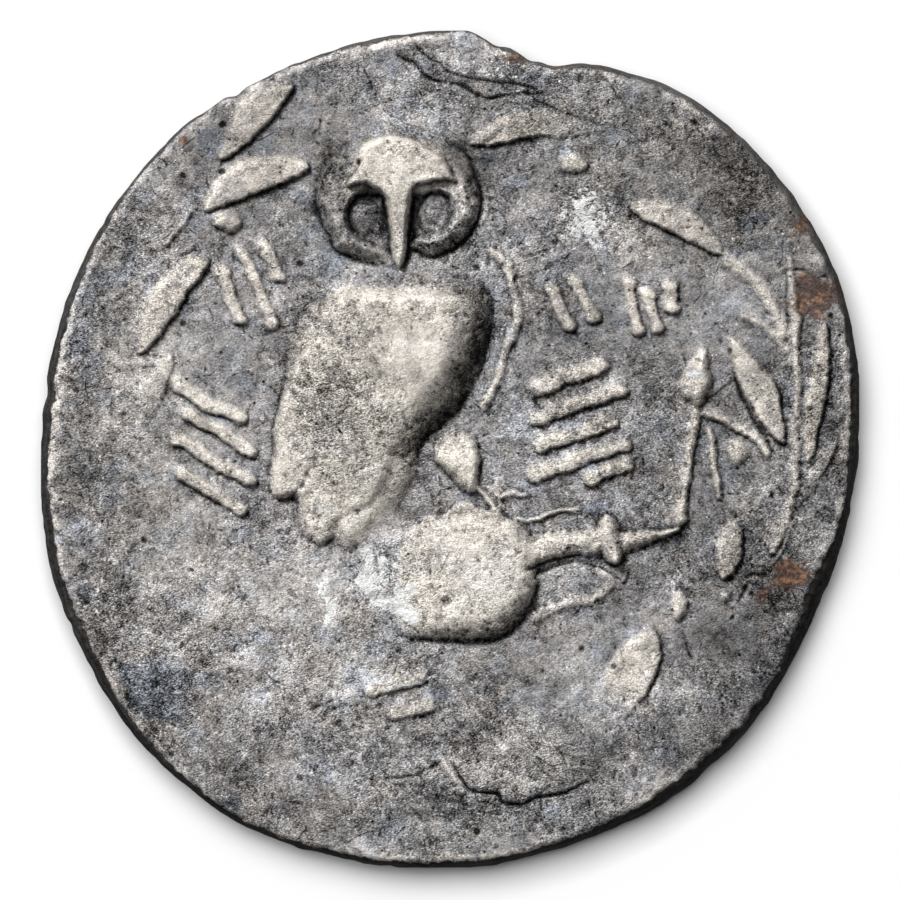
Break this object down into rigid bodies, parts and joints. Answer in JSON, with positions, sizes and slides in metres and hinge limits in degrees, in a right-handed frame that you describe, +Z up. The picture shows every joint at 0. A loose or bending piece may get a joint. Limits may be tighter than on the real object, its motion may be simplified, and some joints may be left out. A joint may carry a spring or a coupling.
{
  "type": "ancient silver tetradrachm coin",
  "caption": "Worn ancient silver coin lying flat: a facing owl on an amphora in an olive wreath above, a plain helmeted head below.",
  "frame": {"origin": "middle of the coin's plan box, on the surface that its underside rests on", "axes": "+Z up through the coin's thickness, out of the owl side; +Y towards the top of the owl's head; +X to the right, towards the amphora's foot"},
  "size_m": [0.0322, 0.0328, 0.0034],
  "materials": {
    "silver": "worn, dull grey silver with dark toning in the recesses, paler high points and small brown and white patches"
  },
  "bodies": {
    "root": {"coin": "silver"}
  },
  "joints": []
}
